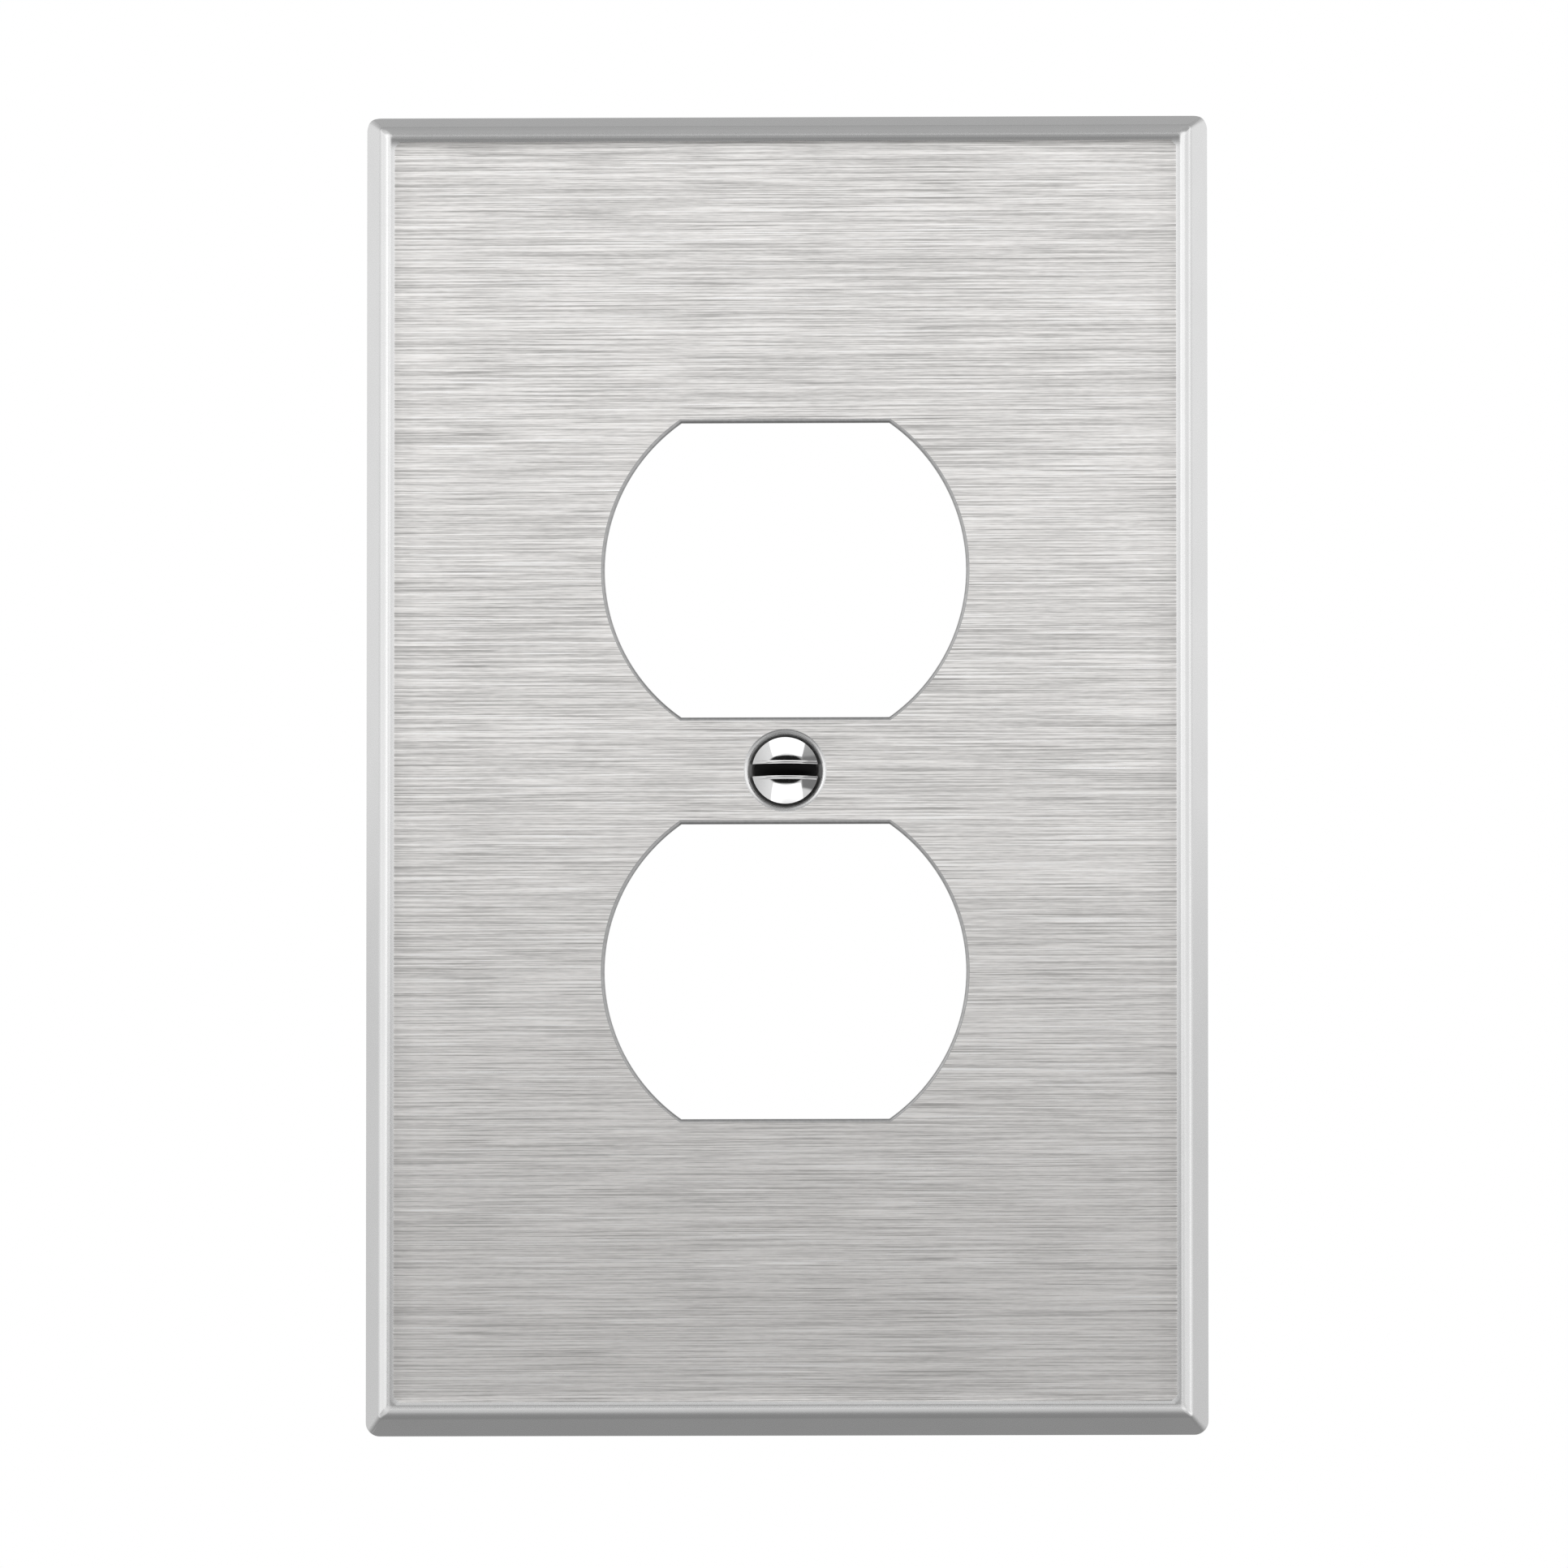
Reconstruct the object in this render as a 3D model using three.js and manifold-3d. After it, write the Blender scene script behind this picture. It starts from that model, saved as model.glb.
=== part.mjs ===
// One-gang wall plate for a duplex receptacle: a pressed stainless sheet and its slotted oval-head screw.
// Millimetres. +X right, +Z up, the front faces -Y and the wall is the plane y = 0.
// The origin is where the screw's axis meets the wall. Heights are measured off the wall, along -Y.
import * as THREE from "three";
import { mergeVertices } from "three/addons/utils/BufferGeometryUtils.js";
import Module from "manifold-3d";

const wasm = await Module();
wasm.setup();

// Plate: outline, depth and sheet
const plateWidth = 81.4;
const plateHeight = 128;
const plateDepth = 5.6; // wall to the crest of the border
const sheetThickness = 0.76;
const rimCornerRadius = 1.35; // outline corners at the wall
const flangeSlope = THREE.MathUtils.degToRad(74); // between the flange and the wall
const insideBendRadius = 0.64;
const crestWidth = 0.12; // level strip along the top of the border
const fieldDrop = 0.15; // how far the field lies below the border's crest
const fieldCornerRadius = 0.3;
const insideCornerRadius = 0.5; // inside the rim's corners

// Receptacle openings: circles with a flat top and bottom
const openingDiameter = 34.925;
const openingFlats = 28.575; // flat to flat
const openingWeb = 10.325; // strip left between the two openings
const openingEdgeBreak = 0.3; // roll-over of the punched edge

// Screw: a number 6 oval head, 32 threads to the inch, half an inch long
const headDiameter = 6.5;
const headAngle = THREE.MathUtils.degToRad(41); // between the cone and the axis
const headRimLand = 0.12;
const domeHeight = 1.05;
const slotWidth = 1.19;
const slotDepth = 1.45; // below the top of the dome
const screwLength = 12.7; // rim of the head to the tip
const threadDiameter = 3.5;
const threadPitch = 25.4 / 32;
const threadDepth = 0.43;
const threadCrestWidth = 0.1;
const threadFlankAngle = THREE.MathUtils.degToRad(30);
const tipChamfer = 0.5;

// Screw hole: a dimple pressed into the sheet around the head
const holeClearance = 0.35; // thread to hole, on the radius
const seatGap = 0.12; // head cone to seat, square to both
const dimpleMargin = 0.65; // head rim to the mouth of the dimple
const dimpleShoulderRadius = 0.6;
const holeLand = 0.35; // straight wall of the hole below the cone

// Smoothness of the rounds
const bendSteps = 5;
const openingSteps = 20;
const cornerSteps = 5;
const shoulderSteps = 5;
const domeSteps = 7;
const turnSteps = 48;
const threadSteps = 20;

const overcut = 2; // how far a cutter reaches past what it cuts
const weld = 0.1; // how far joined solids reach into each other
const leastDetail = 0.001; // corners closer together than this become one

const headRadius = headDiameter / 2;
const threadRadius = threadDiameter / 2;
const coreRadius = threadRadius - threadDepth;
const holeRadius = threadRadius + holeClearance;
const mouthRadius = headRadius + dimpleMargin;
const fieldHeight = plateDepth - fieldDrop;
const fieldBackHeight = fieldHeight - sheetThickness;

function solidOf(geometry) {
  const bare = geometry.clone();
  bare.deleteAttribute("normal");
  bare.deleteAttribute("uv");
  const merged = mergeVertices(bare);
  return new wasm.Manifold(
    new wasm.Mesh({
      numProp: 3,
      vertProperties: merged.attributes.position.array,
      triVerts: new Uint32Array(merged.index.array),
    }),
  );
}

function meshOf(name, solid, material) {
  const { vertProperties, triVerts } = solid.getMesh();
  const geometry = new THREE.BufferGeometry();
  geometry.setAttribute("position", new THREE.BufferAttribute(vertProperties, 3));
  geometry.setIndex(new THREE.BufferAttribute(triVerts, 1));
  geometry.computeVertexNormals();
  const mesh = new THREE.Mesh(geometry, material);
  mesh.name = name;
  return mesh;
}

// Turns an outline (x, z) into a prism that stands off the wall between two heights.
function prism(outline, fromHeight, toHeight, options = {}) {
  const geometry = new THREE.ExtrudeGeometry(outline, {
    depth: toHeight - fromHeight,
    bevelEnabled: false,
    curveSegments: cornerSteps,
    ...options,
  });
  return solidOf(geometry.rotateX(Math.PI / 2).translate(0, -fromHeight, 0));
}

// Turns a profile of (radius, height) points, listed from the wall side to the front, about the screw's axis.
function turned(profile, steps = turnSteps) {
  const points = profile.map(([radius, height]) => new THREE.Vector2(radius, -height)).reverse();
  return solidOf(new THREE.LatheGeometry(points, steps));
}

function roundedRectangle(width, height, radius) {
  const x = width / 2;
  const z = height / 2;
  const shape = new THREE.Shape();
  shape.absarc(x - radius, z - radius, radius, 0, Math.PI / 2);
  shape.absarc(radius - x, z - radius, radius, Math.PI / 2, Math.PI);
  shape.absarc(radius - x, radius - z, radius, Math.PI, 1.5 * Math.PI);
  shape.absarc(x - radius, radius - z, radius, 1.5 * Math.PI, 2 * Math.PI);
  shape.closePath();
  return shape;
}

// How far in from the rim a bend of this radius reaches the level top of a section this deep.
function bendInset(depth, radius) {
  const tangentHeight = depth - radius * (1 - Math.cos(flangeSlope));
  return tangentHeight / Math.tan(flangeSlope) + radius * Math.sin(flangeSlope);
}

// Section across the plate: two sloping flanges, a bend on each, and the level top.
function hoodSection(span, depth, radius, below) {
  const foot = span / 2 + below / Math.tan(flangeSlope);
  const bendCentre = span / 2 - bendInset(depth, radius);
  const shape = new THREE.Shape();
  shape.moveTo(-foot, -below);
  shape.lineTo(foot, -below);
  shape.absarc(bendCentre, depth - radius, radius, Math.PI / 2 - flangeSlope, Math.PI / 2);
  shape.absarc(-bendCentre, depth - radius, radius, Math.PI / 2, Math.PI / 2 + flangeSlope);
  shape.closePath();
  return shape;
}

// A sloping-sided block: the sections across and along the plate, and its outline, in common.
function hood(width, height, depth, radius, cornerRadius, below) {
  const across = new THREE.ExtrudeGeometry(hoodSection(width, depth, radius, below), {
    depth: height + 2 * overcut,
    bevelEnabled: false,
    curveSegments: bendSteps,
  });
  across.translate(0, 0, -height / 2 - overcut).rotateX(Math.PI);
  const along = new THREE.ExtrudeGeometry(hoodSection(height, depth, radius, below), {
    depth: width + 2 * overcut,
    bevelEnabled: false,
    curveSegments: bendSteps,
  });
  along.translate(0, 0, -width / 2 - overcut).rotateX(Math.PI).rotateY(-Math.PI / 2);
  const outline = roundedRectangle(width, height, cornerRadius);
  return solidOf(across)
    .intersect(solidOf(along))
    .intersect(prism(outline, -below, depth + overcut));
}

function openingOutline() {
  const radius = openingDiameter / 2;
  const reach = Math.asin(openingFlats / openingDiameter);
  const shape = new THREE.Shape();
  shape.absarc(0, 0, radius, -reach, reach);
  shape.absarc(0, 0, radius, Math.PI - reach, Math.PI + reach);
  shape.closePath();
  return shape;
}

// A through cut, and a flare that breaks its front edge.
function openingCut(centreZ) {
  const outline = openingOutline();
  const through = prism(outline, -overcut, plateDepth + overcut, { curveSegments: openingSteps });
  const flare = prism(outline, fieldHeight, fieldHeight + overcut, {
    curveSegments: openingSteps,
    bevelEnabled: true,
    bevelThickness: openingEdgeBreak,
    bevelSize: openingEdgeBreak,
    bevelSegments: 1,
  });
  return through.add(flare).translate([0, 0, centreZ]);
}

// The seat's cone, as the height at which it has a given radius.
const shoulderSlope = Math.PI / 2 - headAngle;
const seatTopRadius = mouthRadius - dimpleShoulderRadius * Math.sin(shoulderSlope);
const seatTopHeight = fieldHeight - dimpleShoulderRadius * (1 - Math.cos(shoulderSlope));
const seatHeightAt = (radius) => seatTopHeight - (seatTopRadius - radius) / Math.tan(headAngle);
const seatEndHeight = seatHeightAt(holeRadius);
const dimpleBackHeight = seatEndHeight - holeLand;

// The hollow of the dimple and the hole below it.
function dimpleCut() {
  const profile = [
    [0, dimpleBackHeight - overcut],
    [holeRadius, dimpleBackHeight - overcut],
    [holeRadius, seatEndHeight],
  ];
  for (let i = shoulderSteps; i >= 0; i--) {
    const angle = (shoulderSlope * i) / shoulderSteps;
    profile.push([
      mouthRadius - dimpleShoulderRadius * Math.sin(angle),
      fieldHeight - dimpleShoulderRadius * (1 - Math.cos(angle)),
    ]);
  }
  profile.push([mouthRadius, fieldHeight + overcut], [0, fieldHeight + overcut]);
  return turned(profile);
}

// The sheet pressed out behind the field, a sheet's thickness off the seat.
function dimpleBack() {
  const offset = sheetThickness / Math.cos(headAngle);
  const radiusAt = (height) => holeRadius + (height - seatEndHeight) * Math.tan(headAngle) + offset;
  const topHeight = fieldBackHeight + weld;
  return turned([
    [0, dimpleBackHeight],
    [radiusAt(dimpleBackHeight), dimpleBackHeight],
    [radiusAt(topHeight), topHeight],
    [0, topHeight],
  ]);
}

function wallPlate() {
  const outsideBendRadius = insideBendRadius + sheetThickness;
  const borderWidth = bendInset(plateDepth, outsideBendRadius) + crestWidth;
  const flangeFoot = sheetThickness / Math.sin(flangeSlope); // the rim's width at the wall
  const outside = hood(plateWidth, plateHeight, plateDepth, outsideBendRadius, rimCornerRadius, 0);
  const inside = hood(
    plateWidth - 2 * flangeFoot,
    plateHeight - 2 * flangeFoot,
    fieldBackHeight,
    insideBendRadius,
    insideCornerRadius,
    overcut,
  );
  const field = roundedRectangle(
    plateWidth - 2 * borderWidth,
    plateHeight - 2 * borderWidth,
    fieldCornerRadius,
  );
  const openingRise = (openingFlats + openingWeb) / 2;
  return outside
    .subtract(inside)
    .subtract(prism(field, fieldHeight, plateDepth + overcut))
    .add(dimpleBack())
    .subtract(dimpleCut())
    .subtract(openingCut(openingRise))
    .subtract(openingCut(-openingRise))
    .simplify(leastDetail);
}

// Where the head stops: its cone lies the seat gap off the seat.
const coneTopHeight = seatHeightAt(headRadius + seatGap / Math.cos(headAngle));
const rimHeight = coneTopHeight + headRimLand;
const neckHeight = coneTopHeight - (headRadius - threadRadius) / Math.tan(headAngle);
const tipHeight = rimHeight - screwLength;

function screwHead() {
  const sphereRadius = (headRadius ** 2 + domeHeight ** 2) / (2 * domeHeight);
  const profile = [
    [0, neckHeight - weld],
    [threadRadius, neckHeight - weld],
    [threadRadius, neckHeight],
    [headRadius, coneTopHeight],
  ];
  const domeReach = Math.asin(headRadius / sphereRadius);
  for (let i = domeSteps; i >= 0; i--) {
    const angle = (domeReach * i) / domeSteps;
    profile.push([
      i ? sphereRadius * Math.sin(angle) : 0,
      rimHeight + domeHeight - sphereRadius * (1 - Math.cos(angle)),
    ]);
  }
  return turned(profile);
}

// The thread: a ridge of V section wound right-handed round the core, from past the tip into the head.
function threadRidge() {
  const rootRadius = coreRadius - weld;
  const crestHalf = threadCrestWidth / 2;
  const rootHalf = crestHalf + (threadRadius - rootRadius) * Math.tan(threadFlankAngle);
  const section = [
    [rootRadius, -rootHalf],
    [threadRadius, -crestHalf],
    [threadRadius, crestHalf],
    [rootRadius, rootHalf],
  ];
  const start = -neckHeight - threadPitch / 2;
  const turns = (-tipHeight + threadPitch - start) / threadPitch;
  const rings = Math.ceil(turns * threadSteps);
  const positions = [];
  for (let i = 0; i <= rings; i++) {
    const angle = (2 * Math.PI * i) / threadSteps;
    const y = start + (threadPitch * i) / threadSteps;
    for (const [radius, offset] of section)
      positions.push(radius * Math.cos(angle), y + offset, -radius * Math.sin(angle));
  }
  const corners = section.length;
  const faces = [0, 1, 2, 0, 2, 3];
  for (let i = 0; i < rings; i++)
    for (let k = 0; k < corners; k++) {
      const a = i * corners + k;
      const b = i * corners + ((k + 1) % corners);
      faces.push(a, a + corners, b + corners, a, b + corners, b);
    }
  const last = rings * corners;
  faces.push(last, last + 2, last + 1, last, last + 3, last + 2);
  const geometry = new THREE.BufferGeometry();
  geometry.setAttribute("position", new THREE.Float32BufferAttribute(positions, 3));
  geometry.setIndex(faces);
  return solidOf(geometry);
}

function screwShank() {
  const core = turned(
    [
      [0, tipHeight],
      [coreRadius, tipHeight],
      [coreRadius, neckHeight + weld],
      [0, neckHeight + weld],
    ],
    threadSteps,
  );
  const envelope = turned([
    [0, tipHeight],
    [threadRadius - tipChamfer, tipHeight],
    [threadRadius + weld, tipHeight + tipChamfer + weld],
    [threadRadius + weld, neckHeight + threadPitch],
    [0, neckHeight + threadPitch],
  ]);
  return core.add(threadRidge()).intersect(envelope);
}

function mountingScrew() {
  const slotFloor = rimHeight + domeHeight - slotDepth;
  const slot = new THREE.BoxGeometry(headDiameter + overcut, slotDepth + overcut, slotWidth);
  slot.translate(0, -slotFloor - (slotDepth + overcut) / 2, 0);
  return screwHead().add(screwShank()).subtract(solidOf(slot)).simplify(leastDetail);
}

const brushedSteel = new THREE.MeshStandardMaterial({ color: 0xc9c7c4, roughness: 0.36, metalness: 1 });
const brightSteel = new THREE.MeshStandardMaterial({ color: 0xd6d6d6, roughness: 0.12, metalness: 1 });

const group = new THREE.Group();
group.add(
  meshOf("wall_plate", wallPlate(), brushedSteel),
  meshOf("mounting_screw", mountingScrew(), brightSteel),
);

export default group;
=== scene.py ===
import math

import bpy
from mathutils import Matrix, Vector


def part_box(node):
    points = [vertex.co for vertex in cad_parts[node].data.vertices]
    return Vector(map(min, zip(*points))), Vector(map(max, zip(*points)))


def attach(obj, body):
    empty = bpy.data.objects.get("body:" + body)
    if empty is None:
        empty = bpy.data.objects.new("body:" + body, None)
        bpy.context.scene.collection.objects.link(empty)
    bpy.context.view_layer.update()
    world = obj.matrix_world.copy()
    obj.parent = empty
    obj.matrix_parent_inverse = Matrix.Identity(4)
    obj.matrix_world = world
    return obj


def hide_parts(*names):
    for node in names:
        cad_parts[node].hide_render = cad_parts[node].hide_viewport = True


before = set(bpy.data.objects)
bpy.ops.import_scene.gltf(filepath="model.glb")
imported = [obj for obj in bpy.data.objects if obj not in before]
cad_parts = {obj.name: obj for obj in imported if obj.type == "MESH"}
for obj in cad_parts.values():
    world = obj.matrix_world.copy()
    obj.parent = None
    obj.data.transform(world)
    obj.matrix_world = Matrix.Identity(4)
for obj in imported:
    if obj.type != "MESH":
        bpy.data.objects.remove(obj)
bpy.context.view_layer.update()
bpy.ops.object.select_all(action="DESELECT")

mm = 0.001
near = 0.01 * mm  # a point this close to a surface counts as on it
plateLow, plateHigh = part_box("wall_plate")
screwLow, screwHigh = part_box("mounting_screw")


def nameIt(name):
    # for the primitive that was added last
    piece = bpy.context.object
    piece.name = name
    piece.data.name = name
    return piece


def applyPlace():
    bpy.ops.object.transform_apply(location=True, rotation=True, scale=True)


def makeActive(piece):
    bpy.ops.object.select_all(action="DESELECT")
    piece.select_set(True)
    bpy.context.view_layer.objects.active = piece


def pick(piece, kind, test):
    # leaves the piece in edit mode with only what passes the test selected
    if bpy.context.mode != "OBJECT":
        leaveEdit()
    makeActive(piece)
    bpy.ops.object.mode_set(mode="EDIT")
    bpy.ops.mesh.select_mode(type=kind)
    bpy.ops.mesh.select_all(action="DESELECT")
    bpy.ops.object.mode_set(mode="OBJECT")
    mesh = piece.data
    if kind == "FACE":
        for face in mesh.polygons:
            face.select = test(face.center, face.normal)
    elif kind == "EDGE":
        for edge in mesh.edges:
            start, end = (mesh.vertices[i].co for i in edge.vertices)
            edge.select = test(start, end)
    else:
        for vertex in mesh.vertices:
            vertex.select = test(vertex.co)
    bpy.ops.object.mode_set(mode="EDIT")


def leaveEdit():
    bpy.ops.object.mode_set(mode="OBJECT")


def tidyMesh(piece):
    pick(piece, "VERT", lambda co: True)
    bpy.ops.mesh.remove_doubles(threshold=0.0005 * mm)
    bpy.ops.mesh.normals_make_consistent(inside=False)
    leaveEdit()


def cutOff(piece, onPlane, outward):
    # takes off what lies on the outward side of a plane and closes the cut
    pick(piece, "VERT", lambda co: True)
    settings = {"use_fill": True, "clear_outer": True, "threshold": 0.0001 * mm}
    bpy.ops.mesh.bisect(plane_co=onPlane, plane_no=outward, **settings)
    leaveEdit()


def combine(piece, tool, operation):
    makeActive(piece)
    bpy.ops.object.modifier_add(type="BOOLEAN")
    modifier = piece.modifiers[-1]
    modifier.operation = operation
    modifier.solver = "EXACT"
    modifier.object = tool
    bpy.ops.object.modifier_apply(modifier=modifier.name)
    bpy.data.objects.remove(tool)


def block(name, width, depth, height, middle):
    bpy.ops.mesh.primitive_cube_add(size=1, location=middle)
    piece = nameIt(name)
    piece.scale = (width, depth, height)
    applyPlace()
    return piece


def drawProfile(name, points):
    # one corner of a small plane is kept, and the line of (radius, height) points is pulled out of it
    bpy.ops.mesh.primitive_plane_add(size=mm)
    piece = nameIt(name)
    pick(piece, "VERT", lambda co: co.x > 0 or co.y > 0)
    bpy.ops.mesh.delete(type="VERT")
    bpy.ops.mesh.select_all(action="SELECT")
    radius, height = points[0]
    bpy.ops.transform.translate(value=(radius + 0.5 * mm, -height + 0.5 * mm, 0))
    for (fromRadius, fromHeight), (toRadius, toHeight) in zip(points, points[1:]):
        move = (toRadius - fromRadius, fromHeight - toHeight, 0)
        bpy.ops.mesh.extrude_region_move(TRANSFORM_OT_translate={"value": move})
    leaveEdit()
    return piece


def turned(name, points, steps):
    piece = drawProfile(name, points)
    bpy.ops.object.mode_set(mode="EDIT")
    bpy.ops.mesh.select_all(action="SELECT")
    bpy.ops.mesh.spin(steps=steps, angle=2 * math.pi, center=(0, 0, 0), axis=(0, 1, 0))
    leaveEdit()
    tidyMesh(piece)
    return piece


def report(piece):
    # one line for each finished piece
    triangles = sum(len(face.vertices) - 2 for face in piece.data.polygons)
    print(f"{piece.name}: {triangles} triangles")


class Wire:
    # an output socket of a node tree; arithmetic on it adds Math nodes

    def __init__(self, tree, socket=None):
        self.tree = tree
        self.socket = socket

    def node(self, kind, settings=None, inputs=None, out=0):
        made = self.tree.nodes.new(kind)
        for name, value in (settings or {}).items():
            if name == "stops":
                while len(made.color_ramp.elements) < len(value):
                    made.color_ramp.elements.new(0.5)
                for element, (position, grey) in zip(made.color_ramp.elements, value):
                    element.position = position
                    element.color = (grey, grey, grey, 1)
            else:
                setattr(made, name, value)
        for name, value in (inputs or {}).items():
            if isinstance(value, Wire):
                self.tree.links.new(value.socket, made.inputs[name])
            else:
                made.inputs[name].default_value = value
        return Wire(self.tree, made.outputs[out])

    def maths(self, operation, *values):
        return self.node("ShaderNodeMath", {"operation": operation}, dict(enumerate(values)))

    def __add__(self, other):
        return self.maths("ADD", self, other)

    def __radd__(self, other):
        return self.maths("ADD", other, self)

    def __sub__(self, other):
        return self.maths("SUBTRACT", self, other)

    def __rsub__(self, other):
        return self.maths("SUBTRACT", other, self)

    def __mul__(self, other):
        return self.maths("MULTIPLY", self, other)

    def __rmul__(self, other):
        return self.maths("MULTIPLY", other, self)

    def __truediv__(self, other):
        return self.maths("DIVIDE", self, other)

    def __abs__(self):
        return self.maths("ABSOLUTE", self)

    def root(self):
        return self.maths("SQRT", self)

    def ease(self, low, high):
        # 0 below low, 1 above high, and smooth between them
        settings = {"interpolation_type": "SMOOTHSTEP"}
        return self.node("ShaderNodeMapRange", settings, {"Value": self, "From Min": low, "From Max": high})

    def mix(self, first, second):
        settings = {"data_type": "RGBA"}
        return self.node("ShaderNodeMix", settings, {0: self, 6: first, 7: second}, out=2)


def newTree(owner):
    owner.use_nodes = True
    owner.node_tree.nodes.clear()
    return Wire(owner.node_tree)


def newFinish(name, shine):
    # shine holds what is the same all over the surface
    material = bpy.data.materials.new(name)
    tree = newTree(material)
    shader = tree.node("ShaderNodeBsdfPrincipled", {}, shine)
    output = tree.tree.nodes.new("ShaderNodeOutputMaterial")
    tree.tree.links.new(shader.socket, output.inputs["Surface"])
    return material, tree, shader.socket.node


def feed(tree, shader, name, value):
    tree.tree.links.new(value.socket, shader.inputs[name])


def place(tree):
    # Object coordinates
    return tree.node("ShaderNodeTexCoord", out=3)


def axes(tree, vector):
    split = tree.node("ShaderNodeSeparateXYZ", {}, {0: vector})
    outputs = split.socket.node.outputs
    return [Wire(tree.tree, outputs[i]) for i in range(3)]


def grain(tree, vector, scale, detail, seed):
    # noise stretched differently along each axis
    shift = (seed, seed * 1.7, seed * 0.6)
    moved = tree.node("ShaderNodeMapping", {}, {"Vector": vector, "Scale": scale, "Location": shift})
    settings = {"noise_dimensions": "3D", "normalize": True}
    inputs = {"Vector": moved, "Scale": 1.0, "Detail": detail, "Roughness": 0.5}
    return tree.node("ShaderNodeTexNoise", settings, inputs)


# the pressed plate
plateShape = {
    "flangeSlope": math.radians(74),  # from the wall
    "sheet": 0.76 * mm,
    "outsideBend": 1.4 * mm,  # bends and corners are radii
    "insideBend": 0.64 * mm,
    "outsideMitre": 0.4 * mm,
    "insideMitre": 0.1 * mm,
    "outlineCorner": 1.35 * mm,
    "insideCorner": 0.5 * mm,
    "steps": ((0.25, 0.07), (0.25, 0.035), (0.3, 0.025), (0.4, 0.02)),  # (across, down) in mm
    "drop": 0.15 * mm,  # from the border down to the brushed field
    "border": 2.66 * mm,
    "openingAcross": 34.925 * mm,
    "openingFlats": 28.575 * mm,
    "openingRise": 19.45 * mm,  # from the screw to the middle of each opening
    "punchRoll": 0.34 * mm,
    "dimpleMouth": 4.0 * mm,  # radius, as are the shoulder and the hole
    "dimpleShoulder": 0.56 * mm,
    "dimpleCone": math.radians(41),  # from the screw's axis
    "screwHole": 2.1 * mm,
    "holeLand": 0.35 * mm,
}


def pressedBlock(name, width, height, depth, behind, bend, mitre, corner, steps=()):
    # a block with sloping sides, its front edges bent over and its corners mitred; behind is
    # how far behind the wall it starts, and steps go inwards from the edge of its front
    slope = plateShape["flangeSlope"]
    deep = depth + behind
    spread = 2 * behind / math.tan(slope)
    piece = block(name, width + spread, deep, height + spread, (0, behind - deep / 2, 0))
    inset = deep / math.tan(slope)
    pick(piece, "VERT", lambda co: co.y < behind - deep / 2)
    shrink = (1 - 2 * inset / (width + spread), 1, 1 - 2 * inset / (height + spread))
    bpy.ops.transform.resize(value=shrink, center_override=(0, -depth, 0))
    pick(piece, "EDGE", lambda a, b: max(a.y, b.y) < behind - deep * 0.99)
    bpy.ops.mesh.bevel(offset=bend * math.tan(slope / 2), segments=10, profile=0.5, affect="EDGES")

    pick(piece, "FACE", lambda middle, normal: middle.y < -depth * 0.99 and normal.y < -0.999)
    front = [v.co for v in piece.data.vertices if v.co.y < near - depth]
    spans = [2 * max(co[i] for co in front) for i in (0, 2)]
    for across, down in steps:
        bpy.ops.mesh.extrude_region_move(TRANSFORM_OT_translate={"value": (0, down * mm, 0)})
        shrink = [1 - 2 * across * mm / span for span in spans]
        bpy.ops.transform.resize(value=(shrink[0], 1, shrink[1]), center_override=(0, -depth, 0))
        spans = [span - 2 * across * mm for span in spans]

    def onMitre(a, b):
        level = all(abs((width / 2 - abs(co.x)) - (height / 2 - abs(co.z))) < 0.001 * mm for co in (a, b))
        return level and abs(a.y - b.y) > 0.001 * mm

    pick(piece, "EDGE", onMitre)
    bpy.ops.mesh.bevel(offset=mitre, segments=4, profile=0.5, affect="EDGES")
    leaveEdit()
    outline = block("outline", width, 6 * deep, height, (0, 0, 0))
    pick(outline, "EDGE", lambda a, b: abs(a.y - b.y) > depth)
    bpy.ops.mesh.bevel(offset=corner, segments=10, profile=0.5, affect="EDGES")
    leaveEdit()
    combine(piece, outline, "INTERSECT")
    return piece


def openingCutter(rise):
    radius = plateShape["openingAcross"] / 2
    bpy.ops.mesh.primitive_cylinder_add(
        vertices=160, radius=radius, depth=30 * mm, location=(0, 0, rise), rotation=(math.pi / 2, 0, 0)
    )
    cutter = nameIt("openingCutter")
    applyPlace()
    for side in (-1, 1):
        cutOff(cutter, (0, 0, rise + side * plateShape["openingFlats"] / 2), (0, 0, side))
    tidyMesh(cutter)
    return cutter


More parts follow.
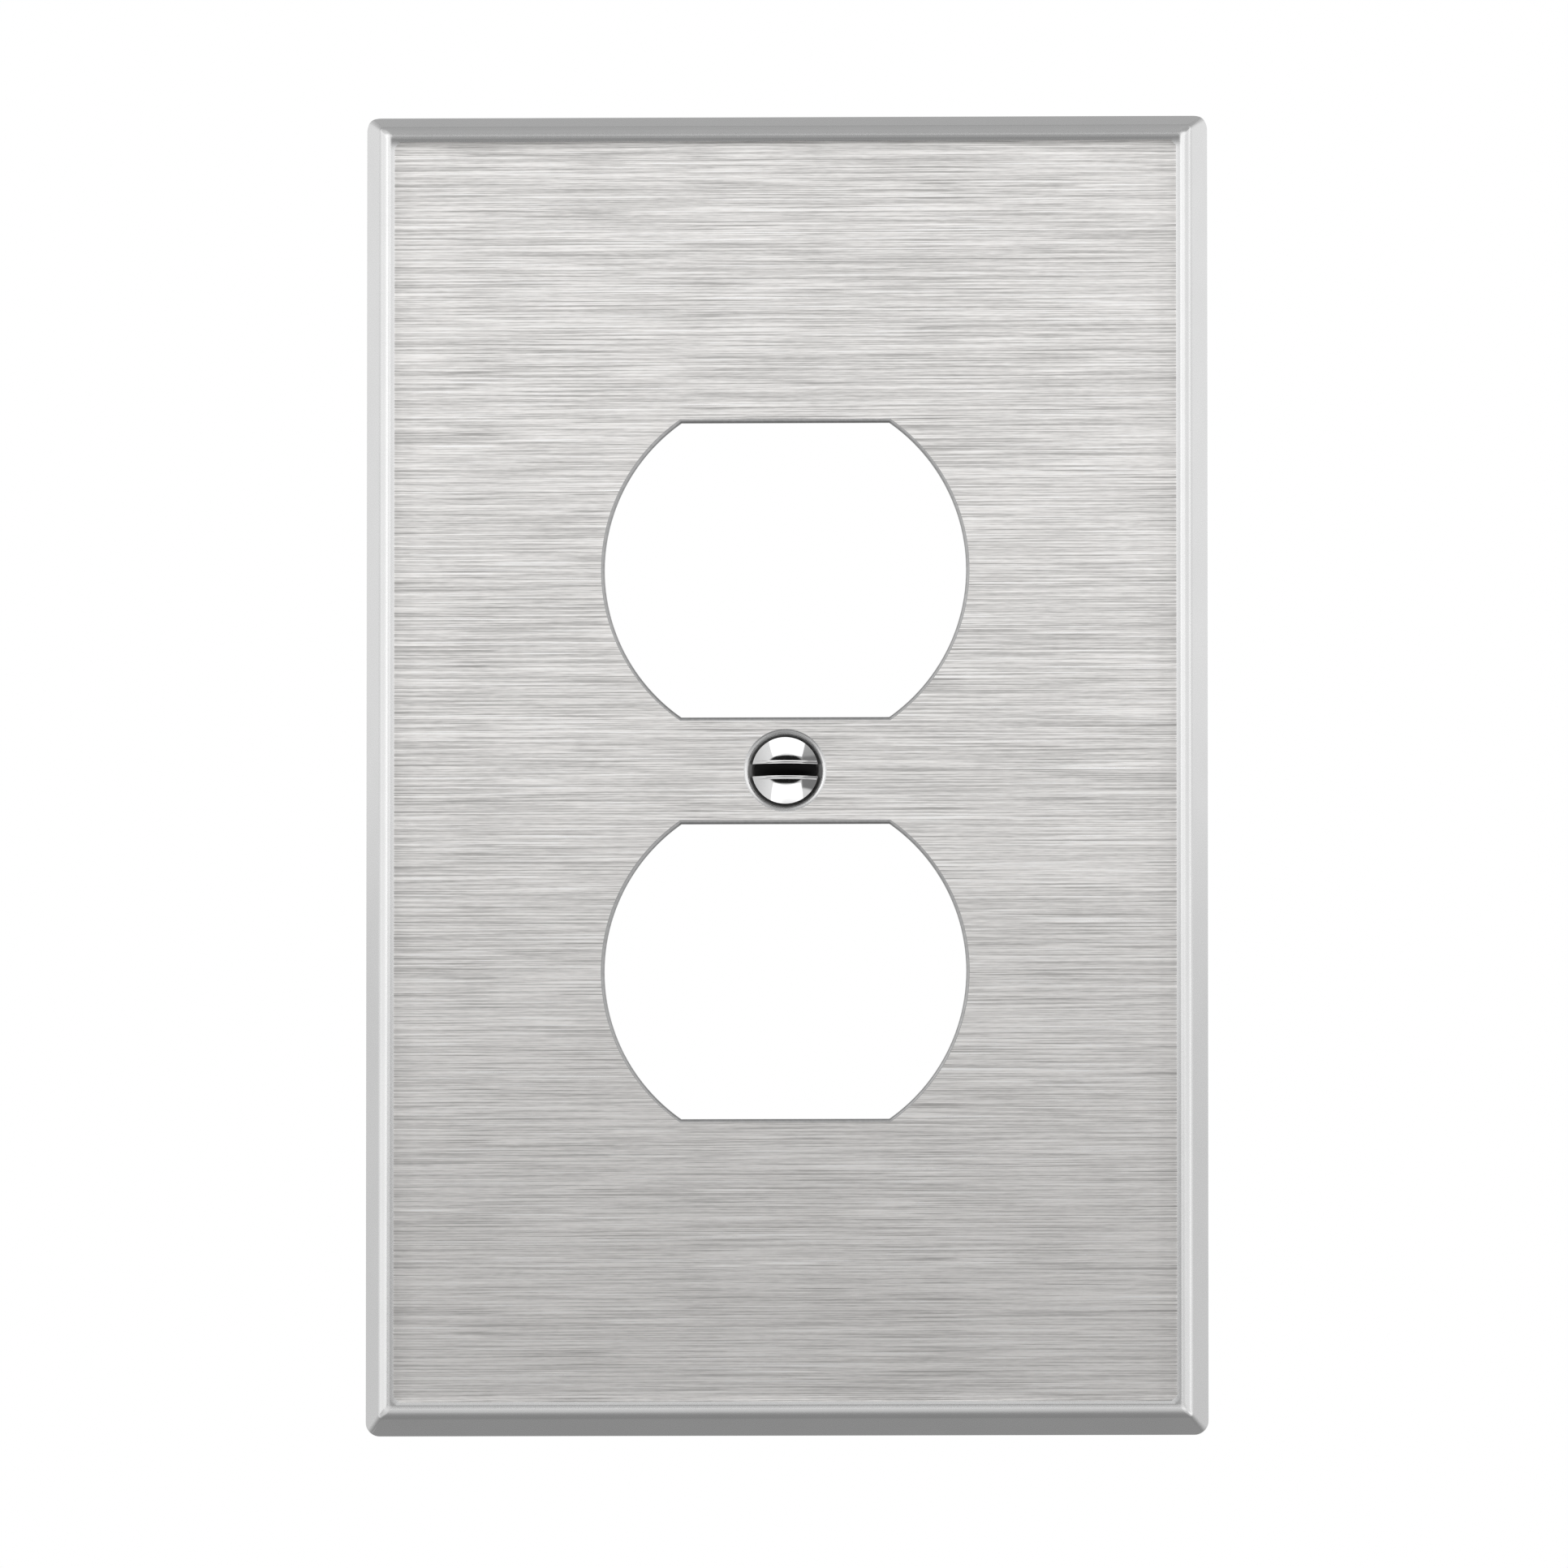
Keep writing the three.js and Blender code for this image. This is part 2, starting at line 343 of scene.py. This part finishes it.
def makePlate():
    s = plateShape
    width = plateHigh.x - plateLow.x
    height = plateHigh.z - plateLow.z
    depth = -plateLow.y
    fieldHeight = depth - s["drop"]
    fieldBack = fieldHeight - s["sheet"]

    plate = pressedBlock(
        "pressed_plate",
        width,
        height,
        depth,
        0,
        s["outsideBend"],
        s["outsideMitre"],
        s["outlineCorner"],
        s["steps"],
    )
    foot = s["sheet"] / math.sin(s["flangeSlope"])
    hollow = pressedBlock(
        "hollow",
        width - 2 * foot,
        height - 2 * foot,
        fieldBack,
        2 * mm,
        s["insideBend"],
        s["insideMitre"],
        s["insideCorner"],
    )
    combine(plate, hollow, "DIFFERENCE")

    # the sheet pressed out behind the screw, then the seat and its rounded shoulder
    shoulderSteps = 12
    cone = s["dimpleCone"]
    shoulderTurn = math.pi / 2 - cone
    shoulder = []
    for i in range(shoulderSteps + 1):
        turn = shoulderTurn * (1 - i / shoulderSteps)
        shoulder.append(
            (
                s["dimpleMouth"] - s["dimpleShoulder"] * math.sin(turn),
                fieldHeight - s["dimpleShoulder"] * (1 - math.cos(turn)),
            )
        )
    seatTopRadius, seatTopHeight = shoulder[0]
    seatEnd = seatTopHeight - (seatTopRadius - s["screwHole"]) / math.tan(cone)
    backHeight = seatEnd - s["holeLand"]
    offset = s["sheet"] / math.cos(cone)
    bossTop = fieldBack + 0.1 * mm
    bossRadius = [s["screwHole"] + (h - seatEnd) * math.tan(cone) + offset for h in (backHeight, bossTop)]
    bossProfile = [(0, backHeight), (bossRadius[0], backHeight), (bossRadius[1], bossTop), (0, bossTop)]
    boss = turned("boss", bossProfile, 96)
    combine(plate, boss, "UNION")
    above = fieldHeight + 2 * mm
    below = backHeight - 2 * mm
    seat = turned(
        "seat",
        [
            (0, below),
            (s["screwHole"], below),
            (s["screwHole"], seatEnd),
            *shoulder,
            (s["dimpleMouth"], above),
            (0, above),
        ],
        128,
    )
    combine(plate, seat, "DIFFERENCE")
    for rise in (s["openingRise"], -s["openingRise"]):
        combine(plate, openingCutter(rise), "DIFFERENCE")

    # the punch rolls the front edge of each opening over
    def onRoll(a, b):
        for co in (a, b):
            fromMiddle = abs(abs(co.z) - s["openingRise"])
            if abs(co.y + fieldHeight) > near or fromMiddle > s["openingFlats"] / 2 + near:
                return False
            if math.hypot(co.x, fromMiddle) > s["openingAcross"] / 2 + near:
                return False
        return True

    pick(plate, "EDGE", onRoll)
    bpy.ops.mesh.bevel(offset=s["punchRoll"], segments=4, profile=0.5, affect="EDGES", clamp_overlap=False)
    leaveEdit()
    tidyMesh(plate)
    return plate


plate = makePlate()
report(plate)

# the oval-head screw
screwShape = {
    "head": 6.44 * mm,  # across
    "headCone": math.radians(41),
    "rimLand": 0.12 * mm,
    "dome": 1.05 * mm,  # height over the rim
    "slot": 1.19 * mm,
    "slotDepth": 1.45 * mm,
    "burrRadius": 0.2 * mm,
    "burrOffset": 0.12 * mm,  # its centre line from the slot's wall
    "burrSunk": 0.06 * mm,  # its centre line below the dome
    "burrShort": 0.06 * mm,  # its end from the rim
    "rimBreak": 0.05 * mm,
    "neckRise": 0.04 * mm,
    "length": 12.7 * mm,
    "thread": 3.5 * mm,
    "pitch": 25.4 / 32 * mm,
    "threadDepth": 0.43 * mm,
    "threadCrest": 0.1 * mm,
    "tipChamfer": 0.5 * mm,
}


def makeScrew():
    s = screwShape
    headRadius = s["head"] / 2
    threadRadius = s["thread"] / 2
    coreRadius = threadRadius - s["threadDepth"]
    tip = -screwHigh.y
    rim = tip + s["length"]
    coneTop = rim - s["rimLand"]
    neck = coneTop - (headRadius - threadRadius) / math.tan(s["headCone"])
    sphere = (headRadius**2 + s["dome"] ** 2) / (2 * s["dome"])
    reach = math.asin(headRadius / sphere)
    edge = s["rimBreak"]
    domeSteps = 24
    profile = [
        (0, neck),
        (threadRadius + s["neckRise"], neck),
        (headRadius - edge * 0.6, coneTop - edge * 0.7),
        (headRadius, coneTop),
    ]
    for i in range(domeSteps + 1):
        turn = reach * (1 - i / domeSteps)
        profile.append((sphere * math.sin(turn), rim + s["dome"] - sphere * (1 - math.cos(turn))))
    profile[-1] = (0, rim + s["dome"])
    screw = turned("oval_screw", profile, 128)

    # a rolled burr stands along both sides of the slot, which is sawn right across
    ballCentre = rim + s["dome"] - sphere
    reachOut = headRadius - s["burrShort"]
    beyond = rim + s["dome"] + mm
    for side in (-1, 1):
        across = s["slot"] / 2 + s["burrOffset"]
        bpy.ops.mesh.primitive_torus_add(
            major_segments=320,
            minor_segments=20,
            major_radius=math.sqrt(sphere**2 - across**2) - s["burrSunk"],
            minor_radius=s["burrRadius"],
            location=(0, -ballCentre, side * across),
        )
        burr = nameIt("burr")
        applyPlace()
        front = turned("front", [(0, coneTop), (reachOut, coneTop), (reachOut, beyond), (0, beyond)], 128)
        combine(burr, front, "INTERSECT")
        combine(screw, burr, "UNION")
    slotFloor = rim + s["dome"] - s["slotDepth"]
    saw = block(
        "saw", s["head"] + 2 * mm, beyond - slotFloor, s["slot"], (0, -(slotFloor + beyond) / 2, 0)
    )
    combine(screw, saw, "DIFFERENCE")

    # one pitch of the thread's outline, wound along the shank
    flank = s["threadDepth"] * math.tan(math.radians(30))
    half = s["threadCrest"] / 2
    start = -neck - 2 * s["pitch"]
    outline = [
        (coreRadius, -start),
        (coreRadius, -start - (s["pitch"] / 2 - half - flank)),
        (threadRadius, -start - (s["pitch"] / 2 - half)),
        (threadRadius, -start - (s["pitch"] / 2 + half)),
        (coreRadius, -start - (s["pitch"] / 2 + half + flank)),
        (coreRadius, -start - s["pitch"]),
    ]
    shank = drawProfile("shank", outline)
    bpy.ops.object.modifier_add(type="SCREW")
    wind = shank.modifiers[-1]
    wind.axis = "Y"
    wind.angle = 2 * math.pi
    wind.screw_offset = s["pitch"]
    wind.iterations = math.ceil((-tip - start) / s["pitch"]) + 1
    wind.steps = wind.render_steps = 40
    wind.use_merge_vertices = True
    wind.merge_threshold = 0.001 * mm
    bpy.ops.object.modifier_apply(modifier=wind.name)
    tidyMesh(shank)
    cutOff(shank, (0, -neck - 0.12 * mm, 0), (0, -1, 0))
    cutOff(shank, (0, -tip, 0), (0, 1, 0))
    tidyMesh(shank)
    point = turned(
        "point",
        [
            (0, tip),
            (threadRadius - s["tipChamfer"], tip),
            (threadRadius + 0.1 * mm, tip + s["tipChamfer"] + 0.1 * mm),
            (threadRadius + 0.1 * mm, neck + mm),
            (0, neck + mm),
        ],
        96,
    )
    combine(shank, point, "INTERSECT")
    combine(screw, shank, "UNION")
    tidyMesh(screw)
    return screw


screw = makeScrew()
report(screw)

# base colour of each finish
finish = {
    "field": (0.825, 0.81, 0.795),
    "border": (0.78, 0.78, 0.78),
    "mill": (0.62, 0.62, 0.62),
    "punched": (0.42, 0.42, 0.42),
    "chrome": (0.92, 0.92, 0.92),
    # the slot's colour is painted shade, nearly black for the shade inside it
    "slot": (0.06, 0.06, 0.06),
}
# each length of brush stroke: stretch along x, y and z, detail, seed and weight
brushing = {
    "fine": ((120, 1, 14000), 1.0, 3.1, 0.9),
    "short": ((800, 1, 11000), 2.0, 9.3, 0.5),
    "mid": ((60, 1, 10000), 1.0, 7.7, 1.0),
    "long": ((22, 1, 7000), 1.0, 1.3, 0.8),
    "broad": ((9, 1, 120), 2.0, 5.9, 0.1),
}
# painted shade: how much darker the colour is made along the step and in the dimple, where shade falls
paintedShadeDepth = {
    "top": 0.6,
    "underTop": 0.04,
    "foot": 0.16,
    "side": 0.1,
    "nearSide": 0.05,
    "aboveHead": 0.5,
    "belowHead": 0.35,
}


def shade(colour, factor=1.0):
    return (*(c * factor for c in colour), 1)


def stepShade(x, z):
    # painted shade: the corner where the border drops to the field is coloured darker along the top and the
    # foot, where shade falls
    fromTop = plateHigh.z - plateShape["border"] - z
    fromFoot = plateHigh.z - plateShape["border"] + z
    fromSide = plateHigh.x - plateShape["border"] - abs(x)
    top = fromTop.ease(-0.45 * mm, 0) * fromTop.ease(1.05 * mm, 0) * paintedShadeDepth["top"]
    top = top + fromTop.ease(1.25 * mm, 1.1 * mm) * paintedShadeDepth["underTop"]
    foot = fromFoot.ease(-0.2 * mm, 0) * fromFoot.ease(0.9 * mm, 0.1 * mm) * paintedShadeDepth["foot"]
    return (top + foot) * fromSide.ease(-0.3 * mm, 0)


def makeFieldFinish():
    material, tree, shader = newFinish("brushedField", {"Metallic": 1.0, "Roughness": 0.32})
    here = place(tree)
    x, _, z = axes(tree, here)
    streak = 0
    for scale, detail, seed, weight in brushing.values():
        streak = streak + (grain(tree, here, scale, detail=detail, seed=seed) - 0.5) * weight
    scratch = grain(tree, here, (90, 1, 9500), detail=0.0, seed=11.2).ease(0.64, 0.8)
    glint = grain(tree, here, (100, 1, 10500), detail=0.0, seed=17.4).ease(0.66, 0.82)
    level = (streak * 1.3 + 0.52 - scratch * 0.5 + glint * 0.4).ease(-0.2, 1.2)

    # painted shade: darker bands beside the raised border and in the corner of the step, where shade falls
    fromSide = plateHigh.x - plateShape["border"] - abs(x)
    paintedShade = fromSide.ease(2.4 * mm, 1.5 * mm) * paintedShadeDepth["nearSide"]
    paintedShade = paintedShade + fromSide.ease(1.1 * mm, 0.1 * mm) * paintedShadeDepth["side"] + stepShade(x, z)
    colour = level.mix(shade(finish["field"], 0.5), shade(finish["field"], 1.3))
    colour = paintedShade.mix(colour, (0, 0, 0, 1))
    feed(tree, shader, "Base Color", colour)
    feed(tree, shader, "Roughness", 0.36 - streak * 0.2)
    bump = tree.node("ShaderNodeBump", {}, {"Height": streak, "Strength": 0.12, "Distance": 0.00002})
    feed(tree, shader, "Normal", bump)
    return material


def makeBorderFinish():
    material, tree, shader = newFinish("satinBorder", {"Metallic": 1.0, "Roughness": 0.3})
    here = place(tree)
    speck = grain(tree, here, (4200, 4200, 4200), detail=2.0, seed=2.2)
    cloud = grain(tree, here, (160, 160, 160), detail=3.0, seed=8.8)
    level = ((speck - 0.5) * 0.13 + (cloud - 0.5) * 0.25 + 0.5).ease(0.0, 1.0)
    colour = level.mix(shade(finish["border"], 0.9), shade(finish["border"], 1.1))

    # painted shade where the dimple turns in above and below the screw's head, and along the top of the step
    x, y, z = axes(tree, here)
    radius = (x * x + z * z).root()
    inDimple = radius.ease(4.2 * mm, 4.0 * mm)
    paintedShade = (z / radius).ease(0.2, 0.9) * paintedShadeDepth["aboveHead"]
    paintedShade = paintedShade + (z / radius).ease(-0.3, -0.95) * paintedShadeDepth["belowHead"]
    paintedShade = paintedShade * inDimple + stepShade(x, z) * (0 - y).ease(5 * mm, 5.1 * mm)
    feed(tree, shader, "Base Color", paintedShade.mix(colour, (0, 0, 0, 1)))
    feed(tree, shader, "Roughness", 0.27 + (speck - 0.5) * 0.04)
    bump = tree.node("ShaderNodeBump", {}, {"Height": speck, "Strength": 0.035, "Distance": 0.000005})
    feed(tree, shader, "Normal", bump)
    return material


def makeMillFinish():
    material, tree, shader = newFinish("millBack", {"Metallic": 1.0, "Roughness": 0.42})
    here = place(tree)
    rolled = grain(tree, here, (900, 900, 60), detail=2.0, seed=4.4)
    cloud = grain(tree, here, (70, 70, 40), detail=3.0, seed=6.1)
    level = ((rolled - 0.5) * 0.5 + (cloud - 0.5) * 0.6 + 0.5).ease(0.0, 1.0)
    feed(tree, shader, "Base Color", level.mix(shade(finish["mill"], 0.85), shade(finish["mill"], 1.12)))
    feed(tree, shader, "Roughness", 0.42 + (cloud - 0.5) * 0.2)
    return material


def makePunchedFinish():
    material, tree, shader = newFinish("punchedEdge", {"Metallic": 1.0, "Roughness": 0.4})
    here = place(tree)
    sheared = grain(tree, here, (2600, 200, 2600), detail=2.0, seed=9.5)
    colour = sheared.mix(shade(finish["punched"], 0.8), shade(finish["punched"], 1.2))
    feed(tree, shader, "Base Color", colour)
    return material


def makeChromeFinish():
    material, tree, shader = newFinish("brightChrome", {"Metallic": 1.0, "Roughness": 0.06})
    here = place(tree)
    speck = grain(tree, here, (1500, 1500, 1500), detail=3.0, seed=1.9)
    feed(tree, shader, "Base Color", speck.mix(shade(finish["chrome"], 0.95), shade(finish["chrome"], 1.02)))
    feed(tree, shader, "Roughness", 0.05 + speck * 0.04)
    return material


def makeSlotShadeFinish():
    # painted shade: nearly black steel for the shade inside the slot
    material, tree, shader = newFinish("slotSteel", {"Metallic": 1.0, "Roughness": 0.5})
    here = place(tree)
    sawn = grain(tree, here, (300, 3000, 3000), detail=2.0, seed=12.5)
    feed(tree, shader, "Base Color", sawn.mix(shade(finish["slot"], 0.6), shade(finish["slot"], 1.6)))
    return material


def plateZone(middle, normal):
    # 0 brushed field, 1 border and dimple, 2 back, 3 punched edge
    s = plateShape
    depth = -plateLow.y
    reach = s["openingAcross"] / 2 + s["punchRoll"]
    fromAxis = math.hypot(middle.x, middle.z)
    if normal.y < -0.9999 and abs(middle.y + depth - s["drop"]) < near:
        return 0
    onStep = middle.y < -depth + s["drop"] + near
    shallow = onStep and normal.y < -0.98 and middle.y > -depth + 0.05 * mm
    if shallow and fromAxis > 20 * mm:
        return 0
    fromOpening = math.hypot(middle.x, abs(middle.z) - s["openingRise"])
    inFlats = abs(abs(middle.z) - s["openingRise"]) < s["openingFlats"] / 2 + s["punchRoll"]
    if fromOpening < reach and inFlats and abs(normal.y) < 0.999 and fromAxis > s["dimpleMouth"] + 0.3 * mm:
        return 3
    if fromAxis < s["dimpleMouth"]:
        return 1 if normal.y < -0.1 and fromAxis > screwShape["head"] / 2 else 2
    inward = middle.x * normal.x / plateHigh.x**2 + middle.z * normal.z / plateHigh.z**2 < 0
    if normal.y > 0.02 or (inward and not onStep):
        return 2
    return 1


def screwZone(middle, normal):
    # 0 chrome, 1 the slot's floor and walls, nearly black as painted shade
    inSlot = abs(middle.z) < screwShape["slot"] / 2 + 0.002 * mm and middle.y < -4.6 * mm
    return 1 if inSlot else 0


for piece, body, node, slotName, zone, finishes in (
    (
        plate,
        "plate",
        "wall_plate",
        "brushed_steel",
        plateZone,
        (makeFieldFinish(), makeBorderFinish(), makeMillFinish(), makePunchedFinish()),
    ),
    (screw, "screw", "mounting_screw", "bright_steel", screwZone, (makeChromeFinish(), makeSlotShadeFinish())),
):
    for material in finishes:
        piece.data.materials.append(material)
    for face in piece.data.polygons:
        face.material_index = zone(face.center, face.normal)
    makeActive(piece)
    bpy.ops.object.shade_smooth_by_angle(angle=math.radians(32))
    bpy.ops.object.modifier_add(type="WEIGHTED_NORMAL")
    piece.modifiers[-1].keep_sharp = True
    bpy.ops.object.modifier_apply(modifier=piece.modifiers[-1].name)
    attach(piece, body)
    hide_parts(node)

print("finishes: on the plate and the screw")

# floor, light and camera; frameWidth is what the camera's frame spans at the plate
studio = {
    "floorDrop": 0.35,
    "floorRadius": 2.6,
    "floorGlow": 0.32,
    "lens": 700,
    "sensor": 36,
    "frameWidth": 0.1515,
    "azimuth": 1.8,
    "elevation": -5,
    "aim": (-0.0002, -0.0028, -0.0011),
}

bpy.ops.mesh.primitive_circle_add(
    vertices=128, radius=studio["floorRadius"], fill_type="NGON", location=(0, 0, -studio["floorDrop"])
)
floor = nameIt("studio_floor")
shine = {"Roughness": 0.8, "Emission Strength": studio["floorGlow"]}
material, tree, shader = newFinish("floorPaper", shine)
paper = grain(tree, place(tree), (30, 30, 30), detail=2.0, seed=3.3)
feed(tree, shader, "Base Color", paper.mix(shade((0.9, 0.9, 0.9)), shade((0.94, 0.94, 0.94))))
feed(tree, shader, "Emission Color", paper.mix(shade((0.95, 0.95, 0.95)), shade((1, 1, 1))))
floor.data.materials.append(material)
floor.visible_glossy = False

world = bpy.data.worlds.new("studioLight")
bpy.context.scene.world = world
tree = newTree(world)
x, y, z = axes(tree, tree.node("ShaderNodeTexCoord", out=0))
height = z * 0.5 + 0.5


def ramp(tree, value, stops):
    return tree.node("ShaderNodeValToRGB", {"stops": stops}, {"Fac": value})


# (height, level) pairs of the surround, from the nadir up
frontStops = [(0, 0.28), (0.04, 0.38), (0.1, 0.68), (0.35, 0.7), (0.5, 0.45)]
frontStops += [(0.65, 0.35), (0.8, 0.35), (0.9, 0.42), (1, 0.48)]
behindStops = [(0, 0.28), (0.2, 0.29), (0.38, 0.58), (0.5, 0.7), (0.64, 0.6), (0.8, 0.37), (1, 0.48)]
front = ramp(tree, height, frontStops)
behind = ramp(tree, height, behindStops)
level = y.ease(-0.2, 0.4).mix(front, behind)

# bright at the sides, grey to the right, soft to the left and dark straight ahead, as a bright screw shows
side = abs(x).ease(0.35, 0.9) * y.ease(0.75, 0.2) * y.ease(-0.1, 0.1)
level = side.mix(level, (0.92, 0.92, 0.92, 1))
ahead = z * 0.105 - y * 0.995 + x * x * 0.22
sideways = ahead.ease(0.1, 0.4)
level = (sideways * x.ease(0.5, 0.56) * abs(z).ease(0.56, 0.46)).mix(level, (0.19, 0.19, 0.19, 1))
left = (0 - x).ease(0.5, 0.95).mix((0.78, 0.78, 0.78, 1), (0.6, 0.6, 0.6, 1))
level = (sideways * (0 - x).ease(0.05, 0.25)).mix(level, left)
level = ahead.ease(0.83, 0.865).mix(level, (0.01, 0.01, 0.01, 1))

# the camera sees plain white behind the piece
sight = tree.node("ShaderNodeLightPath", out=0)
background = tree.node("ShaderNodeBackground", {}, {"Color": sight.mix(level, (1, 1, 1, 1))})
output = tree.tree.nodes.new("ShaderNodeOutputWorld")
tree.tree.links.new(background.socket, output.inputs["Surface"])
bpy.context.scene.view_settings.view_transform = "Standard"


def lit(piece):
    # a group for the lights that shine on this piece alone
    group = bpy.data.collections.new(piece.name + "_lit")
    group.objects.link(piece)
    return group


def panel(name, middle, width, height, level, group, aim=(0, 0, 0)):
    # an even rectangle of light, seen by one piece only
    towards = Vector(aim) - Vector(middle)
    turned = towards.to_track_quat("-Z", "Y").to_euler()
    bpy.ops.object.light_add(type="AREA", location=middle, rotation=turned)
    light = bpy.context.object
    light.name = name
    light.data.shape = "RECTANGLE"
    light.data.size = width
    light.data.size_y = height
    light.data.energy = level * math.pi * width * height
    light.visible_camera = False
    light.light_linking.receiver_collection = group


plateLit, screwLit = lit(plate), lit(screw)
panel("frontPanel", (0, -0.6, 0), 0.6, 0.6, 0.41, plateLit)
panel("keyPanel", (0, -0.22, 0.125), 0.6, 0.26, 0.5, plateLit, aim=(0, 0, 0.125))
panel("footPanel", (0, -0.4, -0.24), 0.8, 0.22, 0.25, plateLit, aim=(0, 0, -0.24))
panel("leftFront", (-0.33, -0.4, 0.1), 0.37, 0.6, 0.46, plateLit, aim=(-0.33, 0, 0.1))
panel("rightFront", (0.33, -0.4, 0), 0.37, 0.8, 0.62, plateLit, aim=(0.33, 0, 0))
panel("leftSide", (-0.45, -0.155, 0.1), 0.39, 0.5, 0.42, plateLit, aim=(0, -0.155, 0.1))
panel("rightSide", (0.45, -0.155, -0.05), 0.39, 0.8, 0.7, plateLit, aim=(0, -0.155, -0.05))
panel("backLeft", (-0.35, 0.4, 0.165), 0.5, 0.27, 0.2, plateLit, aim=(-0.35, 0, 0.165))
panel("backRight", (0.35, 0.4, 0.165), 0.5, 0.27, 0.25, plateLit, aim=(0.35, 0, 0.165))
panel("screwTop", (0.01, -0.159, 0.254), 0.34, 0.26, 0.8, screwLit)
panel("screwFoot", (0.01, -0.2, -0.22), 0.34, 0.27, 0.5, screwLit)

bpy.ops.object.camera_add()
camera = bpy.context.object
camera.name = "studioCamera"
bpy.context.scene.camera = camera
camera.data.lens = studio["lens"]
camera.data.sensor_width = studio["sensor"]
turn, lift = math.radians(studio["azimuth"]), math.radians(studio["elevation"])
distance = studio["lens"] / studio["sensor"] * studio["frameWidth"]
aim = studio["aim"]
camera.location = (
    aim[0] + distance * math.sin(turn) * math.cos(lift),
    aim[1] - distance * math.cos(turn) * math.cos(lift),
    aim[2] + distance * math.sin(lift),
)
camera.rotation_euler = (math.pi / 2 - lift, 0, turn)
camera.data.clip_start = 0.01
camera.data.clip_end = 20
print("studio: floor, surround, panels and camera")
